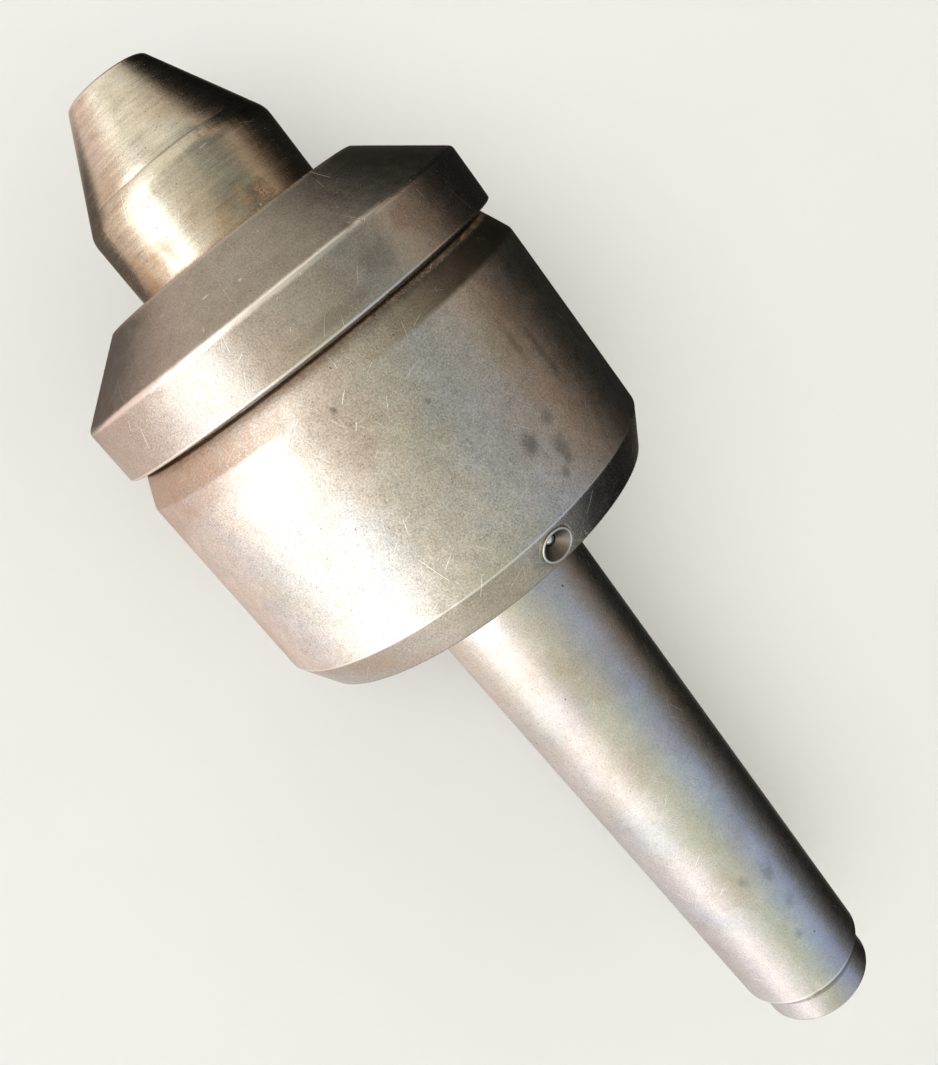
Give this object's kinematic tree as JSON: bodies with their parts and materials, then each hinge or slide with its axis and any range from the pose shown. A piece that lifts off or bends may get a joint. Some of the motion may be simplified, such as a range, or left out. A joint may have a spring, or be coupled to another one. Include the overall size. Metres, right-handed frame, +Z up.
{
  "type": "live center",
  "caption": "Heavy live center: a blunt 60 degree nose that turns on bearings in a round housing with a beveled screw-on cap, a ball oiler and a Morse taper shank",
  "frame": {"origin": "centre of the Morse taper's gauge plane, on the spindle axis", "axes": "+X runs along the spindle axis from the nose to the shank's end, the nose points to -X, +Z is up with the oiler on top"},
  "size_m": [0.2133, 0.075, 0.075],
  "materials": {
    "housing_steel": "turned and ground bare steel with a warm worn patina",
    "cap_steel": "turned bare steel, matte brown-grey on the bevel, bright at worn edges",
    "nose_steel": "ground hardened steel with turning marks and light rust at its root",
    "bearing_steel": "ground",
    "ball_steel": "lapped",
    "pressed_steel": "pressed sheet, satin",
    "cage_brass": "turned",
    "spring_steel": "drawn wire, oiled",
    "oiler_steel": "turned, worn bright on the rim, dark with old oil in the dish",
    "rubber": "matte nitrile"
  },
  "bodies": {
    "housing_body": {"housing": "housing_steel", "front_cap": "cap_steel", "cap_o_ring": "rubber", "seal_case": "pressed_steel", "seal_lip": "rubber", "seal_garter_spring": "spring_steel", "front_outer_ring": "bearing_steel", "thrust_housing_washer": "bearing_steel", "needle_cup": "bearing_steel", "oiler_cup": "oiler_steel", "oiler_spring": "spring_steel"},
    "spindle_body": {"nose_spindle": "nose_steel", "front_inner_ring": "bearing_steel", "retaining_ring": "spring_steel", "thrust_shaft_washer": "bearing_steel"},
    "front_cage_body": {"front_balls": "ball_steel", "front_cage_front_half": "pressed_steel", "front_cage_rear_half": "pressed_steel", "front_cage_rivets": "spring_steel"},
    "thrust_cage_body": {"thrust_balls": "ball_steel", "thrust_cage": "cage_brass"},
    "needle_cage_body": {"needle_rollers": "ball_steel", "needle_cage": "pressed_steel"},
    "oiler_ball_body": {"oiler_ball": "ball_steel"}
  },
  "joints": [
    {"name": "spindle_spin", "type": "hinge", "parent": "housing_body", "child": "spindle_body", "pos_m": [0, 0, 0], "axis": [1, 0, 0], "continuous": true},
    {"name": "front_cage_spin", "type": "hinge", "parent": "housing_body", "child": "front_cage_body", "pos_m": [0, 0, 0], "axis": [1, 0, 0], "continuous": true},
    {"name": "thrust_cage_spin", "type": "hinge", "parent": "housing_body", "child": "thrust_cage_body", "pos_m": [0, 0, 0], "axis": [1, 0, 0], "continuous": true},
    {"name": "needle_cage_spin", "type": "hinge", "parent": "housing_body", "child": "needle_cage_body", "pos_m": [0, 0, 0], "axis": [1, 0, 0], "continuous": true},
    {"name": "oiler_ball_press", "type": "slide", "parent": "housing_body", "child": "oiler_ball_body", "axis": [-0.4741, 0, -0.8805], "range_m": [0, 0.0008], "stiffness_N_per_m": 400, "springref_m": -0.002, "deforming": ["oiler_spring"]}
  ],
  "couplings": [
    {"joint": "front_cage_spin", "follows": "spindle_spin", "ratio": 0.416},
    {"joint": "thrust_cage_spin", "follows": "spindle_spin", "ratio": 0.5},
    {"joint": "needle_cage_spin", "follows": "spindle_spin", "ratio": 0.4546}
  ]
}
